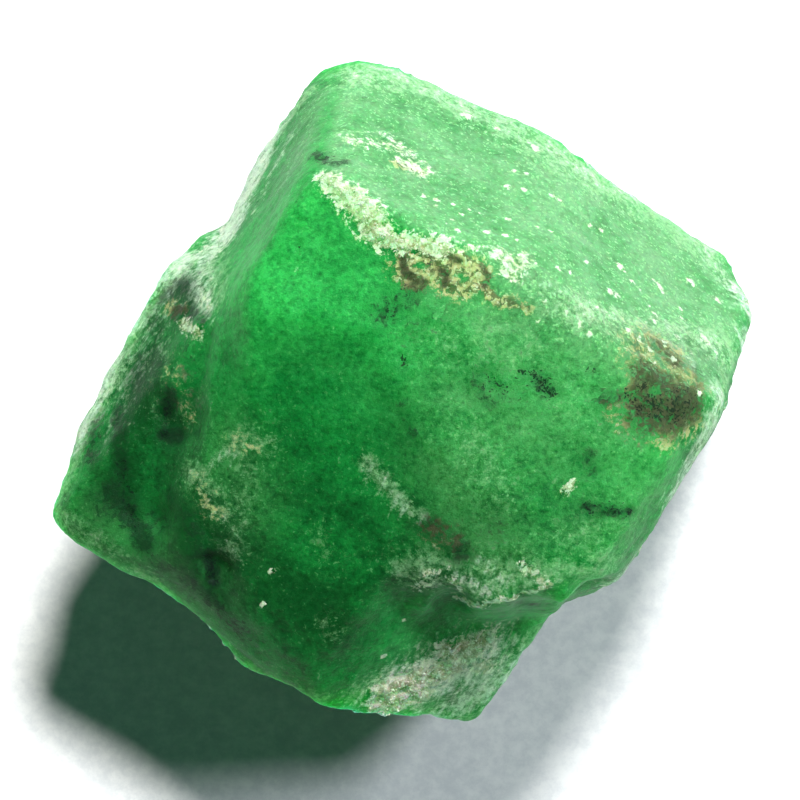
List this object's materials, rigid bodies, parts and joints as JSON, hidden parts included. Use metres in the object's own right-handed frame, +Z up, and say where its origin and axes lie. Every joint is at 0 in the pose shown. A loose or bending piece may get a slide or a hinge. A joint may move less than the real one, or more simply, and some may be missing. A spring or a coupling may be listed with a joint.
{
  "type": "rough emerald crystal",
  "caption": "Raw green emerald stub: a six-sided crystal with a smaller parallel crystal grown on its side, worn faces, a broken corner and a flat broken spot to rest on.",
  "frame": {"origin": "middle of the bounding box in plan, at the flat spot the crystal rests on", "axes": "+Z up out of the resting face; +X to the right and +Y to the back as the crystal lies, with its basal face looking back and right and the smaller crystal on the left"},
  "size_m": [0.0118, 0.0112, 0.008],
  "materials": {
    "emerald": "worn translucent crystal with frosted faces and pale and brown crust"
  },
  "bodies": {
    "root": {"emerald_crystal": "emerald"}
  },
  "joints": []
}
